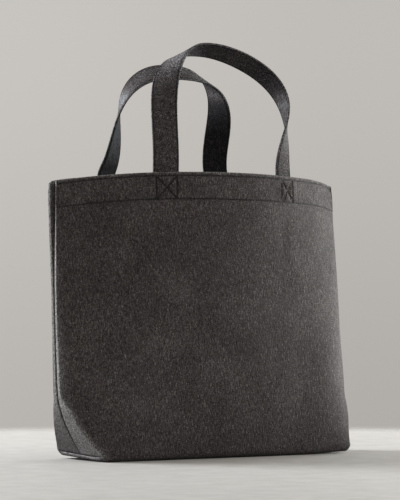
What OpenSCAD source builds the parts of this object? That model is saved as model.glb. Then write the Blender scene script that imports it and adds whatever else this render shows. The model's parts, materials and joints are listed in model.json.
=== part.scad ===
// Open felt craft bag with a boxed base and two stand-up strap handles.
// Millimetres, +Z up, origin on the floor under the middle of the bag, X along the mouth, front at -Y.

/* [Bag body] */
// Length of the base from end to end
base_w = 364; // [310:1:390]
// Depth of the base from front to back
base_d = 118; // [90:1:150]
// Height of the rim at the middle of each side
bag_h = 350; // [300:1:420]
// Length of the mouth between the side seams
mouth_w = 412; // [390:1:440]
// Opening of the mouth between the middles of the two sides
mouth_d = 180; // [150:1:220]
// Drop of the rim from its middle to each side seam
rim_dip = 12; // [0:1:20]
// Sideways lean of the mouth over the base
mouth_lean = 17; // [0:1:20]
// Outward bow of each end between its folded triangle and the rim
end_bow = 2; // [0:0.5:8]
// Thickness of the felt
felt_t = 3; // [2:0.5:4]
// Height of the folded triangle at the foot of each end
gusset_h = 75; // [55:1:95]
// Outward lean of that triangle over its height
gusset_lean = 31.5; // [15:0.5:40]
// Radius of the fold along the foot of each side
foot_r = 9; // [8:0.5:14]
// Half width of the rolled end beside each side seam
end_half = 5; // [5:0.5:8]

/* [Rim] */
// Height of the facing strip sewn inside the rim
facing_h = 34; // [31:1:45]
// Distance between the facing's end and the side seam
facing_end = 17; // [15:1:30]
// Depth of the upper stitch row below the rim
top_row = 4.5; // [3:0.5:8]
// Distance of the lower stitch row from the facing's lower edge
hem_inset = 1.5; // [1:0.5:4]

/* [Handles] */
// Width of the strap
strap_w = 32; // [24:1:38]
// Thickness of the strap
strap_t = 3; // [2:0.5:4]
// Distance between the middles of a handle's two legs
strap_spacing = 178; // [140:1:190]
// Shift of the front handle along the mouth
front_shift = -0.5; // [-10:0.5:10]
// Shift of the back handle along the mouth
back_shift = -7.5; // [-10:0.5:10]
// Length of strap sewn in below the rim
strap_sewn = 29; // [20:1:30]
// Height of the front handle above the rim
front_rise = 155; // [120:1:190]
// Height of the back handle above the rim
back_rise = 131; // [110:1:190]
// Lean of the front handle's top towards the back
front_lean = 36; // [15:1:40]
// Lean of the back handle's top towards the front
back_lean = 43; // [15:1:45]
// Outward bow of the front handle's right shoulder
front_bow = 43; // [0:1:50]
// Inward bow of the back handle's legs over their feet
back_bow = 17; // [0:1:20]
// Turn of the front strap's outer face at the handle's top
front_turn = 114; // [90:1:130]
// Turn of the back strap's outer face at the handle's top
back_turn = 127; // [90:1:130]
// Extra turn of the front strap below its right shoulder
front_shoulder_turn = 27; // [0:1:30]
// Height of the swing line above the rim
swing_z = 22; // [20:1:28]

/* [Sewing] */
// Thickness of the sewing thread
thread_d = 0.7; // [0.5:0.1:1]
// Width of the seam allowance turned inside at the side seams
allowance = 9; // [7:0.5:12]
// Height of the corner seam above the floor
corner_z = 6; // [4:0.5:7]
// Inset of the stitching along the strap's edges
edge_inset = 2; // [1.5:0.5:5]
// Inset of the crossed box from the strap's edges
box_inset = 3; // [2:0.5:5]
// Clearance between neighbouring pieces
clearance = 0.3; // [0.2:0.05:0.5]

/* [Hidden] */
// Bend radius of the felt beside a seam, with some ease inside the bend
seam_ease = 0.5;
seam_r = felt_t + seam_ease;
// Fullness of the section, from boxy at the foot to a plain arch at the rim
foot_fullness = 0.4;
rim_fullness = 1;
// Share of the rim's height at which the lean moves nothing
lean_pivot = 0.4;
// How fast the end triangle narrows with height
gusset_power = 1.2;
// How late in its height that triangle leans out
lean_power = 1.6;
// How the rim's drop gathers towards the side seams
dip_power = 3;
// Sideways room beside a strap end where the facing lifts over it
lift_flat = 2;
lift_slope = 14;
// Ring counts of the panels: half a front, an end, a seam bend and an allowance
front_steps = 22;
end_steps = 4;
bend_steps = 3;
flap_steps = 1;
// Row counts of the panels: wall, foot fold and half base, and how the wall's rows gather at the foot
wall_rows = 15;
wall_power = 1.4;
fold_rows = 4;
base_rows = 3;
// Rings along half a facing, a sewn strap end, a bend and a loop
facing_steps = 44;
sewn_steps = 4;
bend_rings = 5;
loop_rings = 60;
// Rings along a rim row and along a side seam
row_rings = 56;
seam_rings = 14;
// Highest value of h * h * (1 - h), by which the extra turn is scaled
extra_peak = 4 / 27;
// Steps of the numeric tangents, along a panel and down from the rim
delta = 0.01;
rim_step = 1;
// Each handle: rise, lean, how late it leans, squareness of its arch, how late its two legs twist, shift,
// outward bow of the left leg over its foot and at its shoulder, the same of the right leg, turn at the top,
// extra turn below the right shoulder
front_handle = [front_rise, front_lean, 2.6, 2.35, 3.7, 1.9, front_shift, -4, 9, -3, front_bow, front_turn,
    front_shoulder_turn];
back_handle = [back_rise, back_lean, 1, 2.75, 2, 2.15, back_shift, -back_bow, 8.5, -back_bow, 8, back_turn, 0];

// Depth of the lower stitch row below the rim
hem_row = facing_h - hem_inset;
// Offsets below the panel's outer face of the strap's middle and the facing's outer face
strap_mid = -(felt_t + clearance + strap_t / 2);
facing_out = -(felt_t + clearance);
// Height of a thread's middle above the felt that it lies on
thread_up = clearance + thread_d / 2;

felt_grey = [0.25, 0.24, 0.24];
strap_grey = [0.28, 0.27, 0.27];
thread_grey = [0.12, 0.12, 0.13];

// Plain helpers
function lerp(a, b, t) = a + (b - a) * t;
function clamp(x, low, high) = min(high, max(low, x));
function unit(v) = v / norm(v);
function leaning(p) = p + [mouth_lean * (lean_pivot - p.z / bag_h), 0, 0];

// Sizes of the bag's level section at height z
function half_depth(z) = lerp(base_d, mouth_d, z / bag_h) / 2;
function end_width(z) =
    end_half + (base_d / 2 - end_half) * pow(max(0, 1 - z / gusset_h), gusset_power);
function half_reach(z) =
    let (up = max(0, (z - gusset_h) / (bag_h - gusset_h)))
    base_w / 2 + gusset_lean * pow(sin(90 * clamp(z / gusset_h, 0, 1)), lean_power)
    + (mouth_w / 2 - base_w / 2 - gusset_lean) * up + end_bow * sin(180 * min(up, 1));
function fullness(z) = lerp(foot_fullness, rim_fullness, clamp(z / bag_h, 0, 1));

// Front half of the section: s runs 0 to 1 from the middle to the end fold, then over the end,
// round the seam's bend and along the turned-in allowance, up to 4. Negative s is the other end.
function section(s, z, inset = 0) =
    let (a = abs(s), e = half_reach(z), g = end_width(z) - inset, m = half_depth(z) - inset)
    let (t = sin(90 * min(a, 1)), turn = 90 * (a - 2))
    let (xy = a <= 1 ? [e * t, g + (m - g) * pow(max(0, cos(90 * t)), fullness(z))]
        : a <= 2 ? [e, lerp(g, seam_r, a - 1)]
        : a <= 3 ? [e - seam_r * (1 - cos(turn)), seam_r * (1 - sin(turn))]
        : [e - seam_r - (a - 3) * allowance, 0])
    [sign(s) * xy[0], -xy[1] - clearance / 2, z];

// Height of the rim at s, and how far the base turns up at its ends
function rim_z(s) = bag_h - rim_dip * pow(sin(90 * min(abs(s), 1)), dip_power);
function base_lift(s) =
    let (past = base_w / 2 * sin(90 * min(abs(s), 1)) - (base_w / 2 - corner_z))
    let (t = clamp(past / corner_z, 0, 1))
    corner_z * (1 - sqrt(1 - t * t));

// Outer face of the front panel: r runs 0 to 1 down the wall, to 2 round the foot, to 3 under the base
function panel_point(s, r) =
    let (round = 90 * clamp(r - 1, 0, 1), inset = foot_r * (1 - cos(round)))
    let (seam = clearance * clamp(4 * (abs(s) - 1), 0, 1))
    let (foot = base_lift(s) + seam, wall = lerp(rim_z(s), foot_r, min(r, 1)))
    let (z = wall - (foot_r - foot) * sin(round), p = section(s, z, inset))
    r <= 2 ? p : [p.x, lerp(p.y, -clearance / 2, r - 2), p.z];

function panel_normal(s, r) =
    let (end = r > 2 ? 1 : 9, last = min(r + delta, 3))
    let (across = panel_point(clamp(s + delta, -end, end), r) - panel_point(clamp(s - delta, -end, end), r))
    unit(cross(across, panel_point(s, r - delta) - panel_point(s, last)));

function panel_face(s, r, off) = panel_point(s, r) + off * panel_normal(s, r);

// A point at a depth below the rim, at an offset from the front panel's outer face
function rim_point(s, depth) = section(s, rim_z(s) - depth);
function rim_normal(s, depth) =
    unit(cross(rim_point(s + delta, depth) - rim_point(s - delta, depth),
        rim_point(s, depth - rim_step) - rim_point(s, depth + rim_step)));
function rim_face(s, depth, off) = rim_point(s, depth) + off * rim_normal(s, depth);
function at_x(x, depth = 0) = asin(clamp(x / half_reach(bag_h - depth), -1, 1)) / 90;

// A closed sheet: the same grid of points on its outer and inner face, with an edge all round
module sheet(outer, inner, quads, border) {
    n = len(outer);
    m = len(border);
    tri_out = [for (q = quads) each [[q[0], q[1], q[2]], [q[0], q[2], q[3]]]];
    tri_in = [for (f = tri_out) [f[2] + n, f[1] + n, f[0] + n]];
    edge = [for (i = [0 : m - 1]) let (a = border[i], b = border[(i + 1) % m])
        each [[b, a, a + n], [b, a + n, b + n]]];
    polyhedron(concat(outer, inner), concat(tri_out, tri_in, edge), convexity = 8);
}

// A sheet on a plain grid of columns by rows
module grid_sheet(outer, inner, cols, rows) {
    quads = [for (r = [0 : rows - 2], c = [0 : cols - 2])
        let (i = r * cols + c) [i, i + 1, i + cols + 1, i + cols]];
    border = concat([for (c = [0 : cols - 2]) c],
        [for (r = [0 : rows - 2]) r * cols + cols - 1],
        [for (c = [cols - 1 : -1 : 1]) (rows - 1) * cols + c],
        [for (r = [rows - 1 : -1 : 1]) r * cols]);
    sheet(outer, inner, quads, border);
}

// A rod of closed rings, each with the same number of points
module rod(rings) {
    n = len(rings);
    k = len(rings[0]);
    side = [for (r = [0 : n - 2], i = [0 : k - 1])
        let (a = r * k + i, b = r * k + (i + 1) % k)
        each [[a, b, b + k], [a, b + k, a + k]]];
    caps = [for (i = [1 : k - 2]) each [[0, i + 1, i], [(n - 1) * k, (n - 1) * k + i, (n - 1) * k + i + 1]]];
    polyhedron([for (ring = rings) each ring], concat(side, caps), convexity = 8);
}

// A thread's ring round point p, with the felt's outward direction and the direction across the thread
function thread_ring(p, out, across) =
    let (h = thread_d / 2)
    [for (v = [out, across, -out, -across]) leaning(p + h * v)];

module both_sides(side) {
    if (side == "front") children();
    else mirror([0, 1, 0]) children();
}

// Felt panel: one side of the bag with its half ends and its half of the base
module panel() {
    half = concat([for (i = [0 : front_steps]) i / front_steps],
        [for (i = [1 : end_steps]) 1 + i / end_steps],
        [for (i = [1 : bend_steps]) 2 + i / bend_steps],
        [for (i = [1 : flap_steps]) 3 + i / flap_steps]);
    last = len(half) - 1;
    cols = concat([for (i = [last : -1 : 1]) -half[i]], half);
    rows = concat([for (i = [0 : wall_rows]) 1 - pow(1 - i / wall_rows, wall_power)],
        [for (i = [1 : fold_rows]) 1 + i / fold_rows],
        [for (i = [1 : base_rows]) 2 + i / base_rows]);
    c_end = 2 * last;
    c1 = last - front_steps;
    c2 = last + front_steps;
    r_foot = wall_rows + fold_rows;
    r_end = r_foot + base_rows;
    spots = concat([for (r = [0 : r_foot], c = [0 : c_end]) [cols[c], rows[r]]],
        [for (r = [r_foot + 1 : r_end], c = [c1 : c2]) [cols[c], rows[r]]]);
    wall_count = (r_foot + 1) * (c_end + 1);
    function index(c, r) = r <= r_foot ? r * (c_end + 1) + c
        : wall_count + (r - r_foot - 1) * (c2 - c1 + 1) + c - c1;
    quads = [for (r = [0 : r_end - 1], c = [r < r_foot ? 0 : c1 : (r < r_foot ? c_end : c2) - 1])
        [index(c, r), index(c + 1, r), index(c + 1, r + 1), index(c, r + 1)]];
    border = concat([for (c = [0 : c_end - 1]) index(c, 0)],
        [for (r = [0 : r_foot - 1]) index(c_end, r)],
        [for (c = [c_end : -1 : c2 + 1]) index(c, r_foot)],
        [for (r = [r_foot : r_end - 1]) index(c2, r)],
        [for (c = [c2 : -1 : c1 + 1]) index(c, r_end)],
        [for (r = [r_end : -1 : r_foot + 1]) index(c1, r)],
        [for (c = [c1 : -1 : 1]) index(c, r_foot)],
        [for (r = [r_foot : -1 : 1]) index(0, r)]);
    sheet([for (p = spots) leaning(panel_face(p[0], p[1], 0))],
        [for (p = spots) leaning(panel_face(p[0], p[1], -felt_t))], quads, border);
}

// Facing strip inside the rim, which lifts over the two strap ends
function strap_lift(s, shift) =
    let (x = rim_point(s, 0).x - shift)
    let (past = abs(abs(x) - strap_spacing / 2) - strap_w / 2 - lift_flat)
    (strap_t + clearance) * (0.5 + 0.5 * cos(180 * clamp(past / lift_slope, 0, 1)));

module facing(shift) {
    edge = at_x(mouth_w / 2 - facing_end, facing_h);
    cols = [for (i = [-facing_steps : facing_steps]) edge * i / facing_steps];
    depths = [0, facing_h / 2, facing_h];
    spots = [for (d = depths, s = cols) [s, d, facing_out - strap_lift(s, shift)]];
    grid_sheet([for (p = spots) leaning(rim_face(p[0], p[1], p[2]))],
        [for (p = spots) leaning(rim_face(p[0], p[1], p[2] - felt_t))], len(cols), len(depths));
}

// Ends of the strap held between the panel and its facing
module sewn_ends(shift) {
    for (side = [-1, 1]) {
        middle = leg_spot(side, shift);
        half = strap_w / 2 / norm(rim_point(middle + 0.5, 0) - rim_point(middle - 0.5, 0));
        cols = [for (i = [-sewn_steps : sewn_steps]) middle + half * i / sewn_steps];
        depths = [0, strap_sewn / 2, strap_sewn];
        spots = [for (d = depths, s = cols) [s, d]];
        grid_sheet([for (p = spots) leaning(rim_face(p[0], p[1], strap_mid + strap_t / 2))],
            [for (p = spots) leaning(rim_face(p[0], p[1], strap_mid - strap_t / 2))],
            len(cols), len(depths));
    }
}

// Foot of a leg on the rim, and the turn of its outer face away from the front
function leg_spot(side, shift) = at_x(shift + side * strap_spacing / 2);
function leg_foot(side, shift) =
    let (p = rim_face(leg_spot(side, shift), 0, strap_mid))
    let (inner = at_x(shift + side * (strap_spacing - strap_w) / 2))
    [p.x, p.y, rim_face(inner, 0, strap_mid - strap_t / 2).z + clearance];
function leg_turn(side, shift) =
    let (n = rim_normal(leg_spot(side, shift), 0))
    atan(abs(n.x / n.y));

// Middle line of a handle: f runs 0 to 180 from the left leg over the top to the right leg
function arch_height(k, f) = pow(max(0, sin(f)), 2 / k[3]);
function arch(k, f) =
    let (c = cos(f), h = arch_height(k, f), u = 0.5 - 0.5 * sign(c) * pow(abs(c), 2 / k[3]))
    let (bow = 4 * h * (1 - h) * (f < 90 ? -lerp(k[7], k[8], h) : lerp(k[9], k[10], h)))
    lerp(leg_foot(-1, k[6]), leg_foot(1, k[6]), u) + [bow, k[1] * pow(h, k[2]), k[0] * h];
// Place along the arch that stands at height z over the legs' feet
function arch_at(k, z) = asin(pow(z / k[0], k[3] / 2));

// Strap frame at f: middle, direction across the strap, outward direction. The feet are cut level.
function strap_frame(k, f) =
    let (level = f <= 0 || f >= 180, front = [0, -1, 0])
    let (along = level ? [0, 0, sign(90 - f)] : unit(arch(k, min(180, f + 1)) - arch(k, max(0, f - 1))))
    let (e1 = unit(front - (front * along) * along), e2 = cross(e1, along), leg = f < 90 ? 0 : 1)
    let (foot_turn = leg_turn(2 * leg - 1, k[6]))
    let (h = arch_height(k, f), extra = leg * k[12] * h * h * (1 - h) / extra_peak)
    let (turn = lerp(foot_turn, k[11], pow(h, k[4 + leg])) + extra)
    let (out = cos(turn) * e1 + sin(turn) * e2)
    [arch(k, f), cross(along, out), out];

function strap_ring(k, f) =
    let (frame = strap_frame(k, f), w = strap_w / 2 * frame[1], t = strap_t / 2 * frame[2])
    [for (v = [w + t, -w + t, -w - t, w - t]) leaning(frame[0] + v)];

// Strap between the rim and the swinging loop, where it flexes
module strap_bends(k) {
    turns = [for (i = [0 : bend_rings]) arch_at(k, (2 * swing_z - clearance) * i / bend_rings)];
    rod([for (f = turns) strap_ring(k, f)]);
    rod([for (i = [bend_rings : -1 : 0]) strap_ring(k, 180 - turns[i])]);
}

// Middle of a handle's swing line, which runs along X
function swing_line(k) =
    let (f = arch_at(k, swing_z))
    (arch(k, f) + arch(k, 180 - f)) / 2;
echo(front_swing = swing_line(front_handle), back_swing = swing_line(back_handle));

// Places along the arch of the rings of the loop that swings
function loop_places(k) =
    let (start = arch_at(k, 2 * swing_z))
    [for (i = [0 : loop_rings]) lerp(start, 180 - start, i / loop_rings)];

module strap_loop(k) {
    rod([for (f = loop_places(k)) strap_ring(k, f)]);
}

// Two rows of stitching along the loop's edges, on its outer face
module strap_stitching(k) {
    for (side = [-1, 1])
        rod([for (f = loop_places(k))
            let (frame = strap_frame(k, f), across = side * (strap_w / 2 - edge_inset) * frame[1])
            thread_ring(frame[0] + across + (strap_t / 2 + thread_up) * frame[2], frame[2], -frame[1])]);
}

// A row of stitching on the panel, at a depth below the rim
module rim_row(depth) {
    edge = at_x(half_reach(bag_h - rim_dip - depth) - clearance, depth);
    rod([for (i = [-row_rings / 2 : row_rings / 2])
        let (s = edge * 2 * i / row_rings, out = rim_normal(s, depth))
        thread_ring(rim_face(s, depth, thread_up), out, [0, 0, 1])]);
}

// Crossed box that holds a strap end, lying on the panel between the two stitch rows
module box_stitching(shift) {
    w = strap_w - 2 * box_inset;
    h = hem_row - top_row - 2 * (thread_d + clearance);
    depth = (hem_row + top_row) / 2;
    diagonal = norm([w, h]) - thread_d;
    tilt = atan(h / w);
    for (side = [-1, 1]) {
        s = at_x(shift + side * strap_spacing / 2, depth);
        out = rim_normal(s, depth);
        level = unit(cross([0, 0, 1], out));
        q = rim_face(s, depth, clearance);
        p = leaning(q);
        up = leaning(q + cross(out, level)) - p;
        multmatrix([
            [level.x, up.x, out.x, p.x],
            [level.y, up.y, out.y, p.y],
            [level.z, up.z, out.z, p.z],
            [0, 0, 0, 1]])
            linear_extrude(thread_d) {
                difference() {
                    square([w, h], center = true);
                    square([w - 2 * thread_d, h - 2 * thread_d], center = true);
                }
                for (turn = [-tilt, tilt]) rotate(turn) square([diagonal, thread_d], center = true);
            }
    }
}

// Lines of thread on the two allowances of a side seam
module side_seam(end) {
    for (side = ["front", "back"]) both_sides(side)
        rod([for (i = [0 : seam_rings])
            let (z = lerp(gusset_h / 2, rim_z(1) - top_row, i / seam_rings))
            let (p = section(end * 3.5, z))
            thread_ring(p - [0, felt_t + thread_up, 0], [0, -1, 0], [-1, 0, 0])]);
}

// Line of thread along the seam between an end and the base
module corner_seam(end) {
    half = end_width(foot_r) - 2 * foot_r;
    x = end * (half_reach(corner_z) + thread_up);
    translate(leaning([x, half, corner_z])) rotate([90, 0, 0]) cylinder(d = thread_d, h = 2 * half, $fn = 24);
}

module front_panel() { color(felt_grey) panel(); }
module back_panel() { color(felt_grey) both_sides("back") panel(); }
module front_facing() { color(felt_grey) facing(front_shift); }
module back_facing() { color(felt_grey) both_sides("back") facing(back_shift); }
module front_strap_sewn_ends() { color(strap_grey) sewn_ends(front_shift); }
module back_strap_sewn_ends() { color(strap_grey) both_sides("back") sewn_ends(back_shift); }
module front_strap_bends() { color(strap_grey) strap_bends(front_handle); }
module back_strap_bends() { color(strap_grey) both_sides("back") strap_bends(back_handle); }
module front_strap_loop() { color(strap_grey) strap_loop(front_handle); }
module back_strap_loop() { color(strap_grey) both_sides("back") strap_loop(back_handle); }
module front_rim_stitching() { color(thread_grey) rim_row(top_row); }
module back_rim_stitching() { color(thread_grey) both_sides("back") rim_row(top_row); }
module front_hem_stitching() { color(thread_grey) rim_row(hem_row); }
module back_hem_stitching() { color(thread_grey) both_sides("back") rim_row(hem_row); }
module front_box_stitching() { color(thread_grey) box_stitching(front_shift); }
module back_box_stitching() { color(thread_grey) both_sides("back") box_stitching(back_shift); }
module front_strap_stitching() { color(thread_grey) strap_stitching(front_handle); }
module back_strap_stitching() { color(thread_grey) both_sides("back") strap_stitching(back_handle); }
module left_side_seam() { color(thread_grey) side_seam(-1); }
module right_side_seam() { color(thread_grey) side_seam(1); }
module left_corner_seam() { color(thread_grey) corner_seam(-1); }
module right_corner_seam() { color(thread_grey) corner_seam(1); }
module base_seam() {
    length = base_w - 2 * (seam_r + allowance + corner_z);
    color(thread_grey) translate(leaning([-length / 2, 0, felt_t + thread_up])) rotate([0, 90, 0])
        cylinder(d = thread_d, h = length, $fn = 24);
}

front_panel();
back_panel();
front_facing();
back_facing();
front_strap_sewn_ends();
back_strap_sewn_ends();
front_strap_bends();
back_strap_bends();
front_strap_loop();
back_strap_loop();
front_rim_stitching();
back_rim_stitching();
front_hem_stitching();
back_hem_stitching();
front_box_stitching();
back_box_stitching();
front_strap_stitching();
back_strap_stitching();
left_side_seam();
right_side_seam();
left_corner_seam();
right_corner_seam();
base_seam();
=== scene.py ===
"""Open felt craft bag with two strap handles: its felt, straps and stitching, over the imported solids.

Shapes are worked out in millimetres, with +Z up, the mouth along X and the front at -Y, and are put into
the meshes in metres. The back half is the front half turned over in Y.
"""
import json
import math
from typing import NamedTuple

import bpy
import numpy as np
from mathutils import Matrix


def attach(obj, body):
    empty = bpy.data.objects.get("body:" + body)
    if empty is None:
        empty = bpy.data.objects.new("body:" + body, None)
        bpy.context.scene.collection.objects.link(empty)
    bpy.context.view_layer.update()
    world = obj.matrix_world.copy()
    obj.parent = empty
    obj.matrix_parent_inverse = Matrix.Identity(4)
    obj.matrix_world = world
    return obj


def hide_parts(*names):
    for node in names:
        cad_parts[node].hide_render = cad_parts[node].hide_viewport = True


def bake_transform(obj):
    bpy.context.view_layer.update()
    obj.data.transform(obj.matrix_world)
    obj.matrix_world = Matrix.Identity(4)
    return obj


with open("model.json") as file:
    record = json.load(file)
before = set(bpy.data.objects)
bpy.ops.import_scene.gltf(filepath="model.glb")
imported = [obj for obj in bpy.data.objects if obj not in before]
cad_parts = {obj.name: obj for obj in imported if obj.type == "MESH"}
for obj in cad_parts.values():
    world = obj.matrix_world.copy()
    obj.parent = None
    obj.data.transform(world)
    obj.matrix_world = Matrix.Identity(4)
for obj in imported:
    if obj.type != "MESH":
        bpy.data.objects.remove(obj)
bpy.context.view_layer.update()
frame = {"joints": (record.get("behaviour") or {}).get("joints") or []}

MM = 0.001
QUARTER = np.pi / 2

# Bag body, in millimetres, as in the solids
BASE_W = 364.0
BASE_D = 118.0
BAG_H = 350.0
MOUTH_W = 412.0
MOUTH_D = 180.0
RIM_DIP = 12.0
DIP_POWER = 3
MOUTH_LEAN = 17.0
LEAN_PIVOT = 0.4
FELT_T = 3.0
GUSSET_H = 75.0
GUSSET_LEAN = 31.5
GUSSET_POWER = 1.2
LEAN_POWER = 1.6
FOOT_R = 9.0
END_HALF = 5.0
END_BOW = 2.0
SEAM_R = 3.5
ALLOWANCE = 9.0
CORNER_Z = 6.0
FOOT_FULLNESS = 0.4
RIM_FULLNESS = 1.0
CLEARANCE = 0.3

# Rim and its stitch rows
FACING_H = 34.0
FACING_END = 17.0
TOP_ROW = 4.5
HEM_ROW = 32.5
LIFT_FLAT = 2.0
LIFT_SLOPE = 14.0
BOX_MID = (TOP_ROW + HEM_ROW) / 2

# How far the rim has settled and its right end stands up, and start and run of that rise along the rim
RIM_SETTLED = 1.3
RIGHT_RISE = 5.4
RISE_ALONG = (0.2, 0.55)

# Straps
STRAP_W = 32.0
STRAP_T = 3.0
STRAP_SPACING = 178.0
STRAP_SEWN = 29.0
EDGE_INSET = 2.0
BOX_INSET = 3.0
STRAP_MID = -(FELT_T + CLEARANCE + STRAP_T / 2)
FACING_OUT = -(FELT_T + CLEARANCE)

# Sewing thread: radius, length of a stitch, its repeat, and how far it lies above the bottom of its groove
THREAD_R = 0.42
STITCH = 2.7
PITCH = 3.2
STITCH_LIFT = THREAD_R * 0.7

# Grooves of the sewing in the felt
GROOVE = 1.1
GROOVE_W = 0.8
FACING_GROOVE = 0.7 * GROOVE
STRAP_GROOVE = 0.75
STRAP_GROOVE_W = 0.75


class Handle(NamedTuple):
    """One handle: rise and lean of its top, how late it leans, squareness of its arch, how late its two
    legs twist, its shift along the mouth, each leg's outward bow over its foot and at its shoulder, its
    turn at the top, and its extra turn below the right shoulder."""
    rise: float
    lean: float
    late: float
    square: float
    left_twist: float
    right_twist: float
    shift: float
    left_foot: float
    left_shoulder: float
    right_foot: float
    right_shoulder: float
    turn: float
    extra: float


HANDLES = {
    "front": Handle(rise=155, lean=36, late=2.6, square=2.35, left_twist=3.7, right_twist=1.9, shift=-0.5,
                    left_foot=-4, left_shoulder=9, right_foot=-3, right_shoulder=43, turn=114, extra=27),
    "back": Handle(rise=131, lean=43, late=1, square=2.75, left_twist=2, right_twist=2.15, shift=-7.5,
                   left_foot=-17, left_shoulder=8.5, right_foot=-17, right_shoulder=8, turn=127, extra=0),
}
EXTRA_PEAK = 4 / 27


# Plain helpers
def lerp(a, b, t):
    return a + (b - a) * t


def clamp(x, low=0.0, high=1.0):
    return np.clip(x, low, high)


def ease(x):
    """Smooth step from 0 to 1."""
    t = clamp(x)
    return t * t * (3 - 2 * t)


def rise(x, start, run):
    """Smooth step up from 0 at start to 1 a run beyond it."""
    return ease((x - start) / run)


def fall(x, stop, run):
    """Smooth step down to 0 at stop from 1 a run before it."""
    return ease((stop - x) / run)


def ridge(x, width):
    """Bell curve of height 1 at x = 0."""
    return np.exp(-(x / width) ** 2)


def unit(v):
    return v / np.maximum(np.linalg.norm(v, axis=-1, keepdims=True), 1e-12)


def dot(a, b):
    return np.sum(a * b, axis=-1, keepdims=True)


def leaning(p):
    """Moves points along X in proportion to their height, as the mouth leans over the base."""
    q = np.array(p, float)
    q[..., 0] += MOUTH_LEAN * (LEAN_PIVOT - q[..., 2] / BAG_H)
    return q


def run_length(p):
    """Distance along a line of points from its first point."""
    step = np.linalg.norm(np.diff(p, axis=0), axis=1)
    return np.concatenate([[0.0], np.cumsum(step)])


def along_line(places, length, values):
    """Values, one row for each point of a line, read at other distances along it."""
    flat = places.ravel()
    read = [np.interp(flat, length, values[:, i]) for i in range(values.shape[1])]
    return np.stack(read, -1).reshape(*places.shape, values.shape[1])


def spread(low, high, count, weight, samples=6001):
    """Places from low to high that lie closer together where the weight is greater."""
    fine = np.linspace(low, high, samples)
    total = np.concatenate([[0.0], np.cumsum(weight(0.5 * (fine[1:] + fine[:-1])))])
    return np.interp(np.linspace(0, total[-1], count), total, fine)


# Outer face of the bag, as in the solids apart from the settled rim
def half_depth(z):
    return lerp(BASE_D, MOUTH_D, z / BAG_H) / 2


def end_width(z):
    return END_HALF + (BASE_D / 2 - END_HALF) * np.maximum(0, 1 - z / GUSSET_H) ** GUSSET_POWER


def half_reach(z):
    up = np.maximum(0, (z - GUSSET_H) / (BAG_H - GUSSET_H))
    flare = (MOUTH_W / 2 - BASE_W / 2 - GUSSET_LEAN) * up + END_BOW * np.sin(np.pi * np.minimum(up, 1))
    return BASE_W / 2 + GUSSET_LEAN * np.sin(QUARTER * clamp(z / GUSSET_H)) ** LEAN_POWER + flare


def fullness(z):
    return lerp(FOOT_FULLNESS, RIM_FULLNESS, clamp(z / BAG_H))


def section(s, z, inset=0.0):
    """Front half of the level section at height z: s runs 0 to 1 from the middle to the end fold along an
    arch of a cosine's power, to 2 over the flat end, to 3 round the seam's bend, and to 4 along the
    allowance inside."""
    s, z, inset = np.broadcast_arrays(s, z, inset)
    a = np.abs(s)
    t = np.sin(QUARTER * np.minimum(a, 1))
    g = end_width(z) - inset
    turn = QUARTER * clamp(a - 2)
    x = half_reach(z) * t - SEAM_R * (1 - np.cos(turn)) - np.maximum(a - 3, 0) * ALLOWANCE
    front = g + (half_depth(z) - inset - g) * np.maximum(0, np.cos(QUARTER * t)) ** fullness(z)
    end = lerp(g, SEAM_R * (1 - np.sin(turn)), clamp(a - 1))
    y = np.where(a <= 1, front, end)
    return np.stack([np.sign(s) * x, -y - CLEARANCE / 2, z], -1)


def rim_z(s):
    """Height of the rim, which dips to its ends, has settled a little, and stands up at its right end."""
    up = RIGHT_RISE * rise(s, *RISE_ALONG) - RIM_SETTLED
    return BAG_H + up - RIM_DIP * np.sin(QUARTER * np.minimum(np.abs(s), 1)) ** DIP_POWER


def base_lift(s):
    """How far the base turns up at its ends: a quarter circle of the corner seam's height."""
    past = BASE_W / 2 * np.sin(QUARTER * np.minimum(np.abs(s), 1)) - (BASE_W / 2 - CORNER_Z)
    t = clamp(past / CORNER_Z)
    return CORNER_Z * (1 - np.sqrt(1 - t * t))


def rim_point(s, depth):
    return section(s, rim_z(s) - depth)


def rim_normal(s, depth, step=0.01, drop=1.0):
    """Outward direction of the panel below the rim, from its slopes along s and down the depth."""
    across = rim_point(s + step, depth) - rim_point(s - step, depth)
    up = rim_point(s, depth - drop) - rim_point(s, depth + drop)
    return unit(np.cross(across, up))


def rim_face(s, depth, off):
    return rim_point(s, depth) + np.asarray(off)[..., None] * rim_normal(s, depth)


def at_x(x, depth=0.0):
    return np.arcsin(clamp(x / half_reach(BAG_H - depth), -1, 1)) / QUARTER


def leg_spot(side, shift):
    return at_x(shift + side * STRAP_SPACING / 2)


def leg_turn(side, shift):
    n = rim_normal(leg_spot(side, shift), 0.0)
    return np.arctan(np.abs(n[0] / n[1]))


# Meshes
def signed_volume(points, faces):
    fan = [points[f[:, [0, i, i + 1]]] for f in faces for i in range(1, f.shape[1] - 1)]
    return sum(np.sum(t[:, 0] * np.cross(t[:, 1], t[:, 2])) for t in fan)


def make_piece(name, points, faces, finish, uv=None, wear=None):
    """A mesh from points in millimetres and arrays of face corners. A shell that comes out inside out is
    turned round by the sign of its volume. The uv array gives one pair for each point, and the painted
    light one number: above 0 where highlights are painted and below 0 where shade is painted, as in the
    sewn creases."""
    if signed_volume(points, faces) < 0:
        faces = [f[:, ::-1] for f in faces]
    mesh = bpy.data.meshes.new(name)
    mesh.from_pydata((points * MM).tolist(), [], [c for f in faces for c in f.tolist()])
    mesh.polygons.foreach_set("use_smooth", np.ones(len(mesh.polygons), bool))
    if uv is not None:
        corner = np.zeros(len(mesh.loops), np.int32)
        mesh.loops.foreach_get("vertex_index", corner)
        layer = mesh.uv_layers.new(name="felt")
        layer.data.foreach_set("uv", uv[corner].astype(np.float32).ravel())
    if wear is not None:
        mesh.attributes.new("wear", "FLOAT", "POINT").data.foreach_set("value", wear.astype(np.float32))
    mesh.materials.append(finish)
    mesh.update()
    piece = bpy.data.objects.new(name, mesh)
    bpy.context.scene.collection.objects.link(piece)
    return piece


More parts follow.
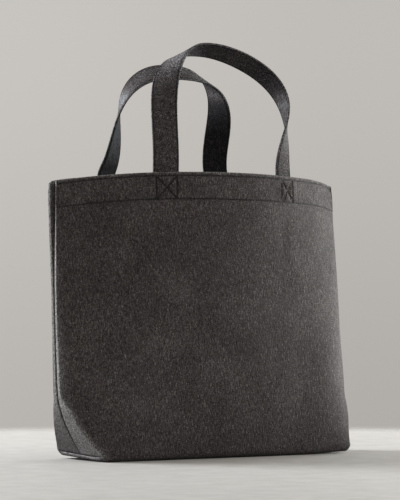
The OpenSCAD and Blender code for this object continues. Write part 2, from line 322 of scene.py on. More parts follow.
def grid_faces(index):
    """Quads between the neighbouring rows and columns of an array of point numbers."""
    near, far = index[..., :-1, :], index[..., 1:, :]
    return np.stack([near[..., :-1], far[..., :-1], far[..., 1:], near[..., 1:]], -1)


def wrapped(index):
    """Point numbers with their first column again at the end, to close a ring."""
    return np.concatenate([index, index[..., :1]], -1)


def closed_sheet(middle, normal, above, below, keep, wear):
    """A sheet of felt on a grid: its outer face lies above the middle surface and its inner face below it,
    along the normal, and the two meet in one line of points round the border of the kept cells. The painted
    light of the two faces comes back for each point."""
    rows, cols = keep.shape[0] + 1, keep.shape[1] + 1
    count = np.zeros((rows, cols), int)
    for r, c in ((0, 0), (0, 1), (1, 0), (1, 1)):
        count[r:rows - 1 + r, c:cols - 1 + c] += keep
    border = count < 4
    outer = middle + normal * np.where(border, 0, above)[..., None]
    inner = middle - normal * np.where(border, 0, below)[..., None]
    index = np.arange(rows * cols).reshape(rows, cols)
    under = np.where(border, index, index + rows * cols)
    faces = np.concatenate([grid_faces(index)[keep], grid_faces(under)[keep][:, ::-1]])
    used, new = np.unique(faces, return_inverse=True)
    points = np.concatenate([outer.reshape(-1, 3), inner.reshape(-1, 3)])[used]
    return points, [new.reshape(faces.shape)], np.concatenate([w.ravel() for w in wear])[used]


def grid_normals(p):
    """Outward directions of a grid of points, rows running down and columns towards +X on the front."""
    return unit(np.cross(np.gradient(p, axis=1), -np.gradient(p, axis=0)))


def round_edge(distance, radius=1.3):
    """Share of the sheet's half thickness at a distance from its edge: a quarter circle."""
    t = clamp(distance / radius)
    return np.sqrt(np.maximum(0, 1 - (1 - t) ** 2))


def turned(points, half):
    """The back half is the front half turned over in Y."""
    return points * np.array([1, -1 if half == "back" else 1, 1])


# Sewing: grooves, puffs and puckers of the felt
class BoxSewing(NamedTuple):
    """How a crossed box is drawn in: width and depth of its lines, the painted shade in them, the painted
    highlight on its diagonals, how much deeper their stitches lie, and strength of the cushions between its
    lines and beside."""
    width: float
    depth: float
    dark: float
    pale: float
    sink: float
    cushion: float
    beside: float


# Painted shade in the lines is strong on the left box, which lies in shade, and weak on the right one,
# whose diagonals get a painted highlight where the light from the right falls on them
LEFT_BOX = BoxSewing(width=GROOVE_W, depth=1.3, dark=1.3, pale=0, sink=0, cushion=0.8, beside=0.3)
RIGHT_BOX = BoxSewing(width=1.4, depth=0.75, dark=0.3, pale=0.8, sink=0.9, cushion=1.8, beside=1.0)
BOX_W = STRAP_W / 2 - BOX_INSET
BOX_H = (HEM_ROW - TOP_ROW) / 2
BOX_FADE = 1.0
CUSHION_SLOPE = 3.0
BESIDE_H = 0.5
BESIDE_OFF = 4.0
BAND_H = 0.35


def box_place(x, depth, shift):
    """Nearest crossed box's side, and place across and up it, for points below the rim. Across follows
    the slope of the panel there."""
    side = np.where(x > shift, 1.0, -1.0)
    slope = np.where(side > 0, np.cos(leg_turn(1, shift)), np.cos(leg_turn(-1, shift)))
    return side, (x - shift - side * STRAP_SPACING / 2) / slope, BOX_MID - depth


def sewing(x, depth, shift):
    """Strength of the sewn creases below the rim, bell-shaped along the two stitch rows and the lines of
    the crossed boxes, height of the low cushions that stand up between those lines, and the painted shade
    in the creases. The right box is drawn in more softly than the left one, with less painted shade, and
    its diagonals get a painted highlight."""
    side, u, v = box_place(x, depth, shift)
    box = BoxSewing(*(np.where(side > 0, right, left) for left, right in zip(LEFT_BOX, RIGHT_BOX)))
    rows = np.maximum(ridge(depth - TOP_ROW, GROOVE_W), ridge(depth - HEM_ROW, GROOVE_W))
    inside = fall(np.abs(v), BOX_H + BOX_FADE / 2, BOX_FADE)
    to_side = np.abs(np.abs(u) - BOX_W)
    to_cross = np.abs(np.abs(u) * BOX_H - np.abs(v) * BOX_W) / np.hypot(BOX_W, BOX_H)
    in_box = inside * fall(np.abs(u), BOX_W + BOX_FADE / 2, BOX_FADE)
    cross = in_box * ridge(to_cross, box.width)
    lines = np.maximum(inside * ridge(to_side, box.width), cross)
    crease = np.maximum(rows, lines * box.depth)
    # Painted shade along the creases, less a painted highlight on the right box's diagonals
    dark = np.maximum(rows, lines * box.dark) - box.pale * cross
    nearest = np.minimum(np.minimum(to_side, to_cross), np.abs(np.abs(v) - BOX_H))
    cushion = in_box * (1 - ridge(nearest, CUSHION_SLOPE)) * box.cushion
    beside = BESIDE_H * ridge(np.abs(u) - BOX_W - BESIDE_OFF, CUSHION_SLOPE) * box.beside * inside
    band = BAND_H * np.sin(np.pi * clamp((depth - TOP_ROW) / (HEM_ROW - TOP_ROW))) * (1 - in_box)
    return crease, cushion + beside + band, dark


# Swells of the felt: size and phase of its waves, size and place of its crease, which slants below its top,
# and size and place of the fullness beside the end folds
WAVE_H = 1.1
WAVE_ALONG = 41.0
WAVE_UP = 67.0
SLANT_WAVE_H = 0.9
SLANT_WAVE = 73.0
WAVE_PHASE = {"front": 0.4, "back": 2.1}
CREASE_H = 1.5
CREASE_W = 9.0
CREASE_X = 84.0
CREASE_TOP = 310.0
CREASE_SLANT = 0.05
FULL_H = 4.5
FULL_X = 152.0
FULL_W = 36.0
FULL_Z = 75.0


def slouch(x, z, half):
    """Soft swells of the standing felt: a few long waves and one crease under a crossed box, all dying out
    towards the foot, the seams and the sewn rim, and low down a fullness beside each end fold."""
    a = np.abs(x)
    phase = WAVE_PHASE[half]
    free = rise(z, 0, 60) * fall(z, BAG_H - 44, 40) * fall(a, 185, 60)
    waves = WAVE_H * np.sin(x / WAVE_ALONG + phase) * np.sin(z / WAVE_UP + 2 * phase)
    waves = waves + SLANT_WAVE_H * np.sin((x + z) / SLANT_WAVE + phase)
    from_crease = x - CREASE_X + CREASE_SLANT * (CREASE_TOP - z)
    crease = -CREASE_H * ridge(from_crease, CREASE_W) * rise(z, 215, 90)
    full = FULL_H * ridge(a - FULL_X, FULL_W) * ridge(z - FULL_Z, FULL_Z) * fall(a, half_reach(z), 25)
    return free * (waves + crease) + full * rise(z, 0, 30)


# Felt panel: one side of the bag, its half ends and its half of the base. Counts of its columns and rows,
# depth of the close rows below the rim, and depths of the rows at a rounded edge and of the first past it
FRONT_COLS = 300
END_COLS = 10
BEND_COLS = 8
RIM_ROWS = 46
WALL_ROWS = 58
FOLD_ROWS = 8
BASE_ROWS = 10
RIM_ZONE = 40.0
EDGE_ROWS = np.array([0, 0.06, 0.22, 0.5, 0.9])
EDGE_IN = 1.4


def panel_columns(shift):
    """Places s across a panel, close together over the crossed boxes and towards the end folds."""
    spots = [leg_spot(-1, shift), leg_spot(1, shift)]

    def weight(s):
        return 1 + sum(4.5 * ridge(s - spot, 0.05) for spot in spots) + 0.6 * ridge(np.abs(s) - 1, 0.1)

    front = spread(-1, 1, FRONT_COLS, weight)
    end = np.linspace(1, 2, END_COLS + 1)[1:]
    bend = np.linspace(2, 3, BEND_COLS + 1)[1:]
    flap = np.array([3.3, 3.6, 3.85, 3.93, 3.97, 4.0])
    half = np.concatenate([end, bend, flap])
    return np.concatenate([-half[::-1], front, half])


def panel_rows():
    """Rows down a panel as depth below the rim, share of the way from there to the foot, turn of the
    foot's fold and share of the half base, and the number of the row at the foot."""
    rim = np.concatenate([EDGE_ROWS, [EDGE_IN], np.linspace(2, 35, RIM_ROWS), [36.5, 38.5, RIM_ZONE]])
    wall = 1 - (1 - np.linspace(0, 1, WALL_ROWS + 1)[1:]) ** 1.2
    fold = np.linspace(0, 1, FOLD_ROWS + 1)[1:]
    base = np.concatenate([np.linspace(0, 0.96, BASE_ROWS + 1)[1:], [0.985, 0.995, 1.0]])
    parts = [rim, wall, fold, base]
    starts = np.cumsum([0] + [len(p) for p in parts])
    rows = np.zeros((4, starts[-1]))
    for i, part in enumerate(parts):
        rows[i, starts[i]:starts[i + 1]] = part
        rows[i, starts[i + 1]:] = part[-1]
    return rows[..., None], starts[3] - 1


def panel_surface(s, depth, share, fold, under):
    """Outer face of a panel: the wall drops from the rim to the foot, turns a quarter circle there and
    runs under the bag to the middle of the base."""
    turn = QUARTER * fold
    inset = FOOT_R * (1 - np.cos(turn))
    foot = base_lift(s) + CLEARANCE * clamp(4 * (np.abs(s) - 1))
    wall = lerp(rim_z(s) - depth, FOOT_R, share)
    p = section(s, wall - (FOOT_R - foot) * np.sin(turn), inset)
    p[..., 1] = lerp(p[..., 1], -CLEARANCE / 2, under)
    return p


# How the standing bag has settled. Pairs are the start and run of a smooth step, and the swells of the ends
# have a height, a reach and how far out they go
AT_END = (0.93, 0.07)
SEAM_PART = {"front": 2.0, "back": -3.6}
RIGHT_PART = 0.15
PART_UP = (190, 140)
TOP_SINK = {"front": 0.0, "back": 3.2}
SINK_UP = (290, 50)
RIM_FLARE = 1.6
FLARE_UP = (285, 45)
LEFT_LIFT = 3.6
LIFT_BACK = (-40, 95)
LIFT_LEFT = (110, 75)
RIGHT_LIFT = 2.2
LIFT_RIGHT = (110, 70)
LIFT_FADE = 70.0
ROLL_OUT = 2.4
SEAM_CLOSING = 0.75
OPEN_UP = (16, 26)
SWELL_ALONG = (0.75, 0.25)
LEFT_SWELLS = ((22, 18, 2.2), (62, 16, -1.8))
RIGHT_SWELLS = ((15, 32, 2.4), (64, 14, -2.0), (148, 40, -2.0))


def swells(z, table):
    return sum(out * ridge(z - height, reach) for height, reach, out in table)


def settled(p, s, under, half):
    """Small ways in which the standing bag differs from its plain cut. Towards the rim the two rolls of a
    side seam part, the back one's left top sinks and the right end flares. The base lifts a little off
    the floor at its left back corner and its right end. The ends swell and draw in by a few millimetres,
    the base's turned-up ends stand out as a roll under the corner seams, and low down the side seam's
    groove closes."""
    x, z = p[..., 0], p[..., 2]
    y = -p[..., 1] if half == "back" else p[..., 1]
    a = np.abs(s)
    end = rise(a, *AT_END)
    part = rise(z, *PART_UP) * end * SEAM_PART[half] * np.where(s < 0, 1, RIGHT_PART)
    sink = rise(z, *SINK_UP) * end * (s < 0) * TOP_SINK[half]
    flare = RIM_FLARE * rise(z, *FLARE_UP) * end * (s > 0)
    near_floor = 1 - rise(z, 0, LIFT_FADE)
    lift = LEFT_LIFT * rise(y, *LIFT_BACK) * rise(-x, *LIFT_LEFT) * near_floor
    lift = lift + RIGHT_LIFT * rise(x, *LIFT_RIGHT) * near_floor
    roll = ROLL_OUT * np.sin(np.pi * clamp(base_lift(s) / CORNER_Z)) * ease(under * 9)
    full = np.where(s < 0, swells(z, LEFT_SWELLS), swells(z, RIGHT_SWELLS)) * rise(a, *SWELL_ALONG)
    bend = 1 - np.cos(QUARTER * clamp(a - 2))
    closing = SEAM_CLOSING * SEAM_R * bend * (1 - rise(z, *OPEN_UP))
    return p + np.stack([np.sign(s) * (roll + full + closing + flare - part), 0 * z, lift - sink], -1)


# Painted highlights of the felt where it turns to the light: their reach from the rim's edge, their
# strength, start and run beside the side seams, low down and high up, their share at the right end and
# their strength under the corner seams
RIM_HIGHLIGHT_W = 2.0
ROLL_HIGHLIGHT = {"front": (1.15, 2.2), "back": (0.4, 1.4)}
ROLL_START = (0.82, 0.945)
ROLL_RUN = (0.1, 0.05)
ROLL_UP = (58, 24)
RIGHT_HIGHLIGHT = 0.45
CORNER_HIGHLIGHT = 2.0

# Painted shade in the crease at the corner seams, under the foot's fold, low down and in the sewn creases
CORNER_SHADE = 1.6
FOOT_SHADE = 0.9
LOW_SHADE = 0.4
CREASE_SHADE = 1.5

# Where the sewn relief stops round an end fold and below the rim, and the share of it that shows inside
RELIEF_STOP = (1.04, 0.04)
RELIEF_DEPTH = RIM_ZONE + 20
INNER_RELIEF = 0.4


def panel_painted_light(s, z, depth, fold, under, half):
    """Painted highlights where the felt turns to the light: along the rim's edge, on the rolls beside the
    side seams, in a band along the folds of the end triangles, and on the roll under the corner seams,
    above which painted shade runs in the crease. The right end's rolls get less highlight than the left
    ones, and painted shade darkens the felt low down and along the foot."""
    a = np.abs(s)
    high = rise(z, *ROLL_UP)
    roll = rise(a, lerp(*ROLL_START, high), lerp(*ROLL_RUN, high)) * fall(a, 2.7, 0.5)
    strong = lerp(*ROLL_HIGHLIGHT[half], high) * np.where(s > 0, RIGHT_HIGHLIGHT, 1)
    ridged = CORNER_HIGHLIGHT * rise(base_lift(s), 0.3, 2) * (under > 0)
    corner = CORNER_SHADE * (a > 1) * ease(fold * 2) + FOOT_SHADE * (a < 0.97) * rise(fold, 0.35, 0.5)
    low = LOW_SHADE * fall(z, 80, 75)
    return np.maximum(ridge(depth, RIM_HIGHLIGHT_W), roll * strong * (under == 0)) + ridged - corner - low


def felt_panel(half):
    """One panel with its relief: its outer and inner faces lie half a sheet either side of its middle."""
    shift = HANDLES[half].shift
    s = panel_columns(shift)[None, :]
    rows, foot_row = panel_rows()
    fold, under = rows[2:]
    plain = panel_surface(s, *rows)
    p = settled(plain, s, under, half)
    normal = grid_normals(p)
    x, z = plain[..., 0], plain[..., 2]
    depth = rim_z(s) - z
    front = np.broadcast_to(np.abs(s) <= 1, depth.shape)
    wall = fall(np.abs(s), *RELIEF_STOP) * (depth < RELIEF_DEPTH)
    crease, puff, dark = sewing(x, depth, shift)
    relief = wall * (puff - GROOVE * crease)
    swell = slouch(x, z, half) * front * (fold == 0)
    edge = round_edge(np.minimum(depth, ALLOWANCE * (4 - np.abs(s)))) * FELT_T / 2
    cells = (front[:-1, :-1] & front[:-1, 1:]) | (np.arange(len(depth) - 1) < foot_row)[:, None]
    # Painted light of the outer face: the panel's painted highlights and shade, and painted shade in the
    # sewn creases
    outer_painted_light = panel_painted_light(s, z, depth, fold, under, half) - CREASE_SHADE * wall * dark
    middle = p + normal * (swell - FELT_T / 2)[..., None]
    inner = edge + INNER_RELIEF * np.minimum(relief, 0)
    # The inner face gets the painted highlight along the rim's edge
    points, faces, wear = closed_sheet(middle, normal, edge + relief, inner, cells,
                                       [outer_painted_light, ridge(depth, RIM_HIGHLIGHT_W)])
    return make_piece(half + "_felt_panel", turned(leaning(points), half), faces, FELT, wear=wear)


# Facing strip inside the rim
def strap_lift(s, shift):
    """Inward lift of the facing over a strap end, eased down on both sides by half a cosine."""
    x = rim_point(s, 0.0)[..., 0] - shift
    past = np.abs(np.abs(x) - STRAP_SPACING / 2) - STRAP_W / 2 - LIFT_FLAT
    return (STRAP_T + CLEARANCE) * (0.5 + 0.5 * np.cos(np.pi * clamp(past / LIFT_SLOPE)))


def facing_edge():
    return at_x(MOUTH_W / 2 - FACING_END, FACING_H)


def facing_inside(s, shift):
    """Place of the stitch grooves on the facing's inner face, from the panel's outer face."""
    return FACING_OUT - strap_lift(s, shift) - FELT_T + FACING_GROOVE


# Counts of the facing's columns and rows, and shares of its half length at its end columns
FACING_COLS = 240
FACING_ROWS = 44
FACING_EVEN = 0.994
FACING_LAST = np.array([0.9975, 0.9993, 1.0])


def felt_facing(half):
    """Strip behind the panel from the rim down, on the panel's own surface moved inwards, lifted over the
    strap ends, with the stitch rows drawn in on its inner face."""
    shift = HANDLES[half].shift
    edge = facing_edge()
    last = edge * FACING_LAST
    even = edge * FACING_EVEN
    s = np.concatenate([-last[::-1], np.linspace(-even, even, FACING_COLS), last])
    depth = np.concatenate([EDGE_ROWS, np.linspace(EDGE_IN, FACING_H - EDGE_IN, FACING_ROWS),
                            FACING_H - EDGE_ROWS[::-1]])
    s, depth = np.broadcast_arrays(s[None, :], depth[:, None])
    middle = rim_face(s, depth, FACING_OUT - strap_lift(s, shift) - FELT_T / 2)
    normal = rim_normal(s, depth)
    from_end = np.abs(np.abs(s) - edge) * MOUTH_W / 2 * QUARTER
    rounding = round_edge(np.minimum(np.minimum(depth, FACING_H - depth), from_end))
    crease = sewing(middle[..., 0], depth, shift)[0]
    half_t = rounding * FELT_T / 2
    # Painted highlight on the facing's rounded edges, and painted shade in the stitch creases of its inner
    # face
    edge_highlight = 1 - rounding
    cells = np.ones((s.shape[0] - 1, s.shape[1] - 1), bool)
    points, faces, wear = closed_sheet(middle, normal, half_t, half_t - FACING_GROOVE * crease, cells,
                                       [edge_highlight, edge_highlight - crease])
    return make_piece(half + "_felt_facing", turned(leaning(points), half), faces, FELT, wear=wear)


# Strap handles
def leg_foot(side, shift):
    """Foot of a leg on the rim: on the strap's middle surface, level with the higher of its two edges."""
    p = rim_face(leg_spot(side, shift), 0.0, STRAP_MID)
    inner = at_x(shift + side * (STRAP_SPACING - STRAP_W) / 2)
    p[2] = rim_face(inner, 0.0, STRAP_MID - STRAP_T / 2)[2] + CLEARANCE
    return p


def arch_height(k, f):
    return np.maximum(0, np.sin(f)) ** (2 / k.square)


def arch(k, f):
    """Middle line of a handle: f runs from 0 at the left foot over the top to half a turn at the right
    foot, along a squared-off half ellipse that leans with a power of its height and bows in its legs."""
    c = np.cos(f)
    h = arch_height(k, f)
    u = 0.5 - 0.5 * np.sign(c) * np.abs(c) ** (2 / k.square)
    left = -lerp(k.left_foot, k.left_shoulder, h)
    right = lerp(k.right_foot, k.right_shoulder, h)
    bow = 4 * h * (1 - h) * np.where(f < QUARTER, left, right)
    p = lerp(leg_foot(-1, k.shift), leg_foot(1, k.shift), u[:, None])
    return p + np.stack([bow, k.lean * h ** k.late, k.rise * h], -1)


def arch_out(k, f):
    """Outward direction of the strap: it turns from the panel's own direction at the feet to face up at
    the top, as a power of the height h. The right leg goes past that by its extra turn times
    h * h * (1 - h), scaled to a peak of 1."""
    step = 0.01
    along = unit(arch(k, np.minimum(f + step, np.pi)) - arch(k, np.maximum(f - step, 0)))
    ahead = np.array([0.0, -1.0, 0.0])
    e1 = unit(ahead - dot(along, ahead) * along)
    e2 = np.cross(e1, along)
    right = f > QUARTER
    start = np.where(right, leg_turn(1, k.shift), leg_turn(-1, k.shift))
    late = np.where(right, k.right_twist, k.left_twist)
    h = arch_height(k, f)
    extra = right * math.radians(k.extra) * h * h * (1 - h) / EXTRA_PEAK
    turn = (lerp(start, math.radians(k.turn), h ** late) + extra)[:, None]
    return np.cos(turn) * e1 + np.sin(turn) * e2


# Spacing of a strap's rings, points along each half of its arch and each sewn end, and how far its line and
# its outward direction are smoothed, in rings
STRAP_STEP = 1.5
ARCH_POINTS = 300
SEWN_POINTS = 20
LINE_REACH = 3
OUT_REACH = 4


def smoothed(values, reach):
    """Running bell-weighted mean of the rows of an array, with its ends held."""
    far = 3 * reach
    weight = ridge(np.arange(-far, far + 1), reach)
    pad = np.pad(values, ((far, far), (0, 0)), "edge")
    return np.stack([np.convolve(pad[:, i], weight / weight.sum(), "valid") for i in range(3)], -1)


def strap_line(half):
    """Middle line of a whole strap at even steps, with its across and outward directions and its length:
    the left sewn end, the arch and the right sewn end."""
    k = HANDLES[half]
    climb = QUARTER * np.linspace(0.1, 1, ARCH_POINTS) ** 2
    f = np.concatenate([climb, np.pi - climb[-2::-1]])
    down = np.linspace(STRAP_SEWN, 2.0, SEWN_POINTS)
    left = np.full(SEWN_POINTS, leg_spot(-1, k.shift))
    right = np.full(SEWN_POINTS, leg_spot(1, k.shift))
    mid = np.full(SEWN_POINTS, STRAP_MID)
    line = np.concatenate([rim_face(left, down, mid), arch(k, f), rim_face(right, down[::-1], mid)])
    out = np.concatenate([rim_normal(left, down), arch_out(k, f), rim_normal(right, down[::-1])])
    length = run_length(line)
    places = np.linspace(0, length[-1], int(round(length[-1] / STRAP_STEP)) + 1)
    line = smoothed(along_line(places, length, line), LINE_REACH)
    out = smoothed(along_line(places, length, out), OUT_REACH)
    along = unit(np.gradient(line, axis=0))
    out = unit(out - dot(out, along) * along)
    return line, np.cross(along, out), out, run_length(line)


# Outline of a strap: points across it, reach of the points beside each stitch row and of the rounded edges,
# fullness between the rows, and bow near the rim and its run along each leg
STRAP_ACROSS = 61
ROW_REACH = 1.2
STRAP_FULL = 0.15
CUP_H = 0.5
CUP_RUN = 50.0
STITCH_LINE = STRAP_W / 2 - EDGE_INSET


def strap_profile():
    """Half of a strap's outline from edge to edge: place across, half thickness and painted light, with
    rounded edges and a groove under each row of stitching. The painted light is a highlight on the edges
    beyond the rows and painted shade in the grooves."""
    even = STRAP_W / 2 * np.sin(QUARTER * np.linspace(-1, 1, STRAP_ACROSS))
    beside = np.linspace(-ROW_REACH, ROW_REACH, 7)
    across = np.sort(np.concatenate([even, STITCH_LINE + beside, -STITCH_LINE - beside]))
    a = np.abs(across)
    thick = STRAP_T / 2 * round_edge(STRAP_W / 2 - a, ROW_REACH)
    crease = ridge(a - STITCH_LINE, STRAP_GROOVE_W)
    thick = thick - STRAP_GROOVE * crease * (thick > 0)
    thick = thick + STRAP_FULL * (1 - (across / STITCH_LINE) ** 2) * (a < STITCH_LINE)
    return across, thick, ease(a - STITCH_LINE - 0.6) - crease


def rim_cup(length):
    """Bow across the strap near the rim, where it follows the panel's curve, dying out along each leg."""
    from_end = np.minimum(length, length[-1] - length)
    return CUP_H * (1 - rise(from_end, STRAP_SEWN, CUP_RUN))


def strap_points(half, across, height):
    """Points on a strap at places across it and heights over its middle, for each step of its line."""
    line, side, out, length = strap_line(half)
    drop = rim_cup(length)[:, None] * (across / (STRAP_W / 2)) ** 2
    return line[:, None] + side[:, None] * across[:, None] + out[:, None] * (height - drop)[..., None]


# Painted highlights and shade along a strap, where its faces turn to or from the light: place along it,
# reach, strength, and face, 1 outside and -1 inside
STRAP_LIGHT_PATCHES = {
    "front": ((182, 20, 0.9, 1), (332, 18, -0.7, -1), (368, 10, 0.8, -1)),
    "back": ((75, 32, -1.0, -1), (128, 12, 1.9, 1), (240, 25, 0.5, 1), (292, 12, 1.9, -1)),
}
# Painted shade on each strap's inner face
INNER_SHADE = {"front": -0.1, "back": -1.3}


def strap_painted_light(half, profile, length):
    """Painted light round and along a strap: highlights on its edges and shade in its creases, painted
    shade on its inner face, and patches of painted highlight and shade such as the lit shoulders."""
    face = np.concatenate([np.ones(len(profile)), -np.ones(len(profile) - 2)])
    base = np.concatenate([profile, profile[-2:0:-1] + INNER_SHADE[half]])
    patches = [strength * ridge(length - place, reach)[:, None] * (face == side)
               for place, reach, strength, side in STRAP_LIGHT_PATCHES[half]]
    return base + sum(patches)


def felt_strap(half):
    """One strap: its closed outline carried along its line, with UV in millimetres round and along it. Each
    cap is a strip between the two faces, with a triangle at either edge, where they meet."""
    across, thick, wear = strap_profile()
    n = len(across)
    ring_across = np.concatenate([across, across[-2:0:-1]])
    ring_thick = np.concatenate([thick, -thick[-2:0:-1]])
    p = strap_points(half, ring_across, ring_thick)
    length = strap_line(half)[3]
    rings, m = p.shape[:2]
    index = np.arange(rings * m).reshape(rings, m)
    tube = grid_faces(wrapped(index)).reshape(-1, 4)
    upper = np.arange(n)
    lower = np.concatenate([[0], np.arange(m - 1, n - 1, -1), [n - 1]])
    strip = np.stack([upper[:-1], upper[1:], lower[1:], lower[:-1]], -1)
    quads = strip[1:-1]
    tips = np.stack([strip[0, [0, 1, 2]], strip[-1, [0, 1, 3]]])
    last = index[-1, 0]
    caps = [quads, (quads + last)[:, ::-1], tips, (tips + last)[:, ::-1]]
    round_place = run_length(np.stack([ring_across, ring_thick], -1))
    uv = np.stack(np.broadcast_arrays(round_place[None, :], length[:, None]), -1).reshape(-1, 2)
    points = turned(leaning(p.reshape(-1, 3)), half)
    wear = strap_painted_light(half, wear, length).ravel()
    return make_piece(half + "_felt_strap", points, [tube, *caps], STRAP_FELT, uv, wear)


# Stitching: a stitch's sides, its rings and their girth, how far its ends dive, how far above the sewn ends
# a strap's rows start, and points along a row
STITCH_TURNS = np.linspace(0, 2 * np.pi, 7)[:-1]
STITCH_STEPS = np.array([-1.0, -0.8, 0.0, 0.8, 1.0])
STITCH_GIRTH = np.array([0.35, 0.85, 1.0, 0.85, 0.35])
STITCH_DIVE = 0.3
ROW_CLEAR = 3.0
RIM_POINTS = 500
SEAM_POINTS = 200
SHORT_POINTS = 60


def stitch_row(line, out, lift=STITCH_LIFT):
    """Stitches along a line: short rods of six sides, a pitch apart, that rise in an arc over the felt and
    dive into it at their ends."""
    length = run_length(line)
    count = max(1, int(round(length[-1] / PITCH)))
    centre = (np.arange(count) + 0.5) * length[-1] / count
    places = centre[:, None] + STITCH_STEPS * STITCH / 2
    middle = along_line(places, length, line)
    up = unit(along_line(places, length, out))
    tangent = unit(along_line(places + 0.4, length, line) - along_line(places - 0.4, length, line))
    side = unit(np.cross(tangent, up))
    middle = middle + up * (lift - STITCH_DIVE * STITCH_STEPS ** 2)[:, None]
    girth = THREAD_R * STITCH_GIRTH[:, None, None]
    c, s = np.cos(STITCH_TURNS)[:, None], np.sin(STITCH_TURNS)[:, None]
    return middle[..., None, :] + girth * (c * up[..., None, :] + s * side[..., None, :])


def stitch_piece(name, rows, half="front"):
    """All stitches of some rows as one piece, each closed at both ends by its own small face."""
    p = np.concatenate(rows)
    index = np.arange(p[..., 0].size).reshape(p.shape[:-1])
    quads = grid_faces(wrapped(index)).reshape(-1, 4)
    caps = np.concatenate([index[:, 0], index[:, -1, ::-1]])
    return make_piece(name, turned(leaning(p.reshape(-1, 3)), half), [quads, caps], THREAD)


def rim_row(half, depth):
    """A stitch row round the panel at a depth below the rim, and the same row on the facing inside."""
    shift = HANDLES[half].shift
    edge = at_x(half_reach(BAG_H - RIM_DIP - depth) - CLEARANCE, depth)
    s = np.linspace(-edge, edge, RIM_POINTS)
    d = np.full(s.shape, depth)
    outside = stitch_row(rim_face(s, d, np.full(s.shape, -GROOVE)), rim_normal(s, d))
    edge = facing_edge() * 0.995
    s = np.linspace(-edge, edge, RIM_POINTS)
    inside = stitch_row(rim_face(s, d, facing_inside(s, shift)), -rim_normal(s, d))
    return [outside, inside]


def crossed_boxes(half):
    """Two sides and two diagonals at each strap end, on the panel and on the facing inside. On the panel
    the right box's diagonals lie deeper."""
    shift = HANDLES[half].shift
    rows = []
    t = np.linspace(-1, 1, SHORT_POINTS)
    for side, box in ((-1, LEFT_BOX), (1, RIGHT_BOX)):
        slope = np.cos(leg_turn(side, shift))
        for u0, u1 in ((-1, -1), (1, 1), (-1, 1), (1, -1)):
            u = lerp(u0, u1, (t + 1) / 2) * BOX_W * slope
            depth = BOX_MID + t * BOX_H
            s = at_x(shift + side * STRAP_SPACING / 2 + u, depth)
            n = rim_normal(s, depth)
            sunk = np.full(t.shape, -GROOVE - (box.sink if u0 != u1 else 0))
            rows.append(stitch_row(rim_face(s, depth, sunk), n))
            rows.append(stitch_row(rim_face(s, depth, facing_inside(s, shift)), -n))
    return rows


def strap_edges(half):
    """Rows along both edges of a strap, on both of its faces, from just above one sewn end to the other."""
    out, length = strap_line(half)[2:]
    free = (length > STRAP_SEWN + ROW_CLEAR) & (length < length[-1] - STRAP_SEWN - ROW_CLEAR)
    rows = []
    for edge in (-STITCH_LINE, STITCH_LINE):
        for face in (-1, 1):
            height = face * (STRAP_T / 2 - STRAP_GROOVE)
            p = strap_points(half, np.array([edge]), np.array([height]))[free, 0]
            rows.append(stitch_row(p, face * out[free]))
    return rows


def side_seam(end):
    """Rows down the two allowances of a side seam, from the rim's row to the corner."""
    z = np.linspace(GUSSET_H / 2, rim_z(1.0) - TOP_ROW, SEAM_POINTS)
    p = section(np.full(z.shape, end * 3.5), z) - np.array([0, FELT_T, 0])
    out = np.broadcast_to([0.0, -1.0, 0.0], p.shape)
    row = stitch_row(p, out, THREAD_R * 0.6)
    return [row, row * np.array([1, -1, 1])]


def corner_seam(end):
    """Row along the seam between an end and the base."""
    reach = end_width(FOOT_R) - 2 * FOOT_R
    y = np.linspace(-reach, reach, SHORT_POINTS)
    p = np.stack(np.broadcast_arrays(end * half_reach(np.array(CORNER_Z)), y, CORNER_Z), -1)
    return [stitch_row(p, np.broadcast_to([float(end), 0.0, 0.0], p.shape), THREAD_R * 0.5)]


def base_seam():
    """Row along the middle of the base, inside."""
    reach = BASE_W / 2 - SEAM_R - ALLOWANCE - CORNER_Z
    x = np.linspace(-reach, reach, SEAM_POINTS)
    p = np.stack(np.broadcast_arrays(x, 0.0, FELT_T), -1)
    return [stitch_row(p, np.broadcast_to([0.0, 0.0, 1.0], p.shape), THREAD_R)]


# Finishes
class Shade:
    """A value in a material's node tree, on which arithmetic adds Math nodes."""

    def __init__(self, paint, socket):
        self.paint = paint
        self.socket = socket

    def math(self, operation, a, b):
        return self.paint.node("ShaderNodeMath", {"operation": operation}, {0: a, 1: b})

    def __add__(self, other):
        return self.math("ADD", self, other)

    __radd__ = __add__

    def __mul__(self, other):
        return self.math("MULTIPLY", self, other)

    __rmul__ = __mul__

    def __sub__(self, other):
        return self.math("SUBTRACT", self, other)

    def __rsub__(self, other):
        return self.math("SUBTRACT", other, self)

    def __truediv__(self, other):
        return self.math("DIVIDE", self, other)

    def __rtruediv__(self, other):
        return self.math("DIVIDE", other, self)


